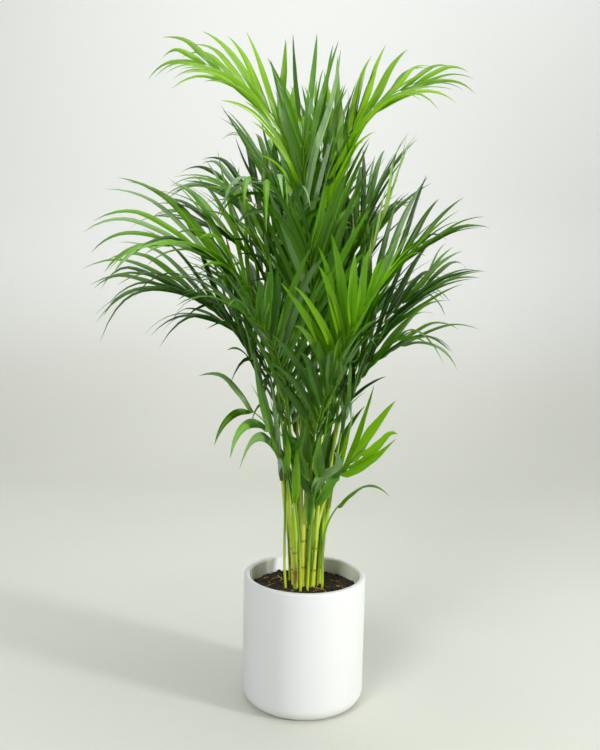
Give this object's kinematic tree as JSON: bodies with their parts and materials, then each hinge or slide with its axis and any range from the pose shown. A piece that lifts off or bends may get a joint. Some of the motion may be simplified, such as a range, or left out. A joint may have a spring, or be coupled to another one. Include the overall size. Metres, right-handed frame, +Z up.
{
  "type": "potted palm",
  "caption": "Potted areca palm: a clump of slim canes with arching feathery fronds, rooted in soil in a smooth round white planter.",
  "frame": {"origin": "middle of the planter's flat underside", "axes": "+Z up, -Y towards the front of the picture's view, +X to its right"},
  "size_m": [0.8823, 0.8956, 1.5278],
  "materials": {
    "pot": "smooth matt white glaze, soft satin sheen",
    "soil": "loose dark brown potting soil with crumbs and fibres",
    "label": "blank white coated paper tag",
    "cane": "waxy yellow-green stem with ring scars and dry sheath fibres",
    "leaf_green": "living leaf, deep green, satin, ribbed along its length",
    "leaf_bright": "young living leaf, bright yellow-green, satin, lets light through",
    "leaf_new": "newly opened leaf, pale yellow-green, satin"
  },
  "bodies": {
    "root": {"cane_01": "cane", "cane_02": "cane", "cane_03": "cane", "cane_04": "cane", "cane_05": "cane", "cane_06": "cane", "cane_07": "cane", "cane_08": "cane", "cane_09": "cane", "cane_10": "cane", "cane_11": "cane", "cane_12": "cane", "frond_back_far": "leaf_green", "frond_back_far_right": "leaf_green", "frond_back_low_left": "leaf_green", "frond_back_low_right": "leaf_green", "frond_back_right": "leaf_green", "frond_back_tall": "leaf_green", "frond_back_tall_left": "leaf_green", "frond_big_left": "leaf_green", "frond_front_drooping": "leaf_green", "frond_front_left": "leaf_green", "frond_front_low": "leaf_green", "frond_front_middle": "leaf_green", "frond_front_right": "leaf_bright", "frond_lower_left_arcs": "leaf_green", "frond_lower_left_curls": "leaf_green", "frond_lower_left_upright": "leaf_green", "frond_lower_right": "leaf_green", "frond_lower_right_thin": "leaf_green", "frond_lowest_middle": "leaf_green", "frond_lowest_right": "leaf_bright", "frond_middle_left": "leaf_green", "frond_middle_right": "leaf_green", "frond_new_leaf": "leaf_new", "frond_outer_left": "leaf_green", "frond_top_left": "leaf_bright", "frond_top_middle_left": "leaf_green", "frond_top_middle_right": "leaf_green", "frond_top_right": "leaf_bright", "frond_upper_left_back": "leaf_green", "frond_young_leaf": "leaf_green", "frond_young_left": "leaf_green", "frond_young_middle": "leaf_green", "label": "label", "pot": "pot", "soil": "soil"}
  },
  "joints": []
}
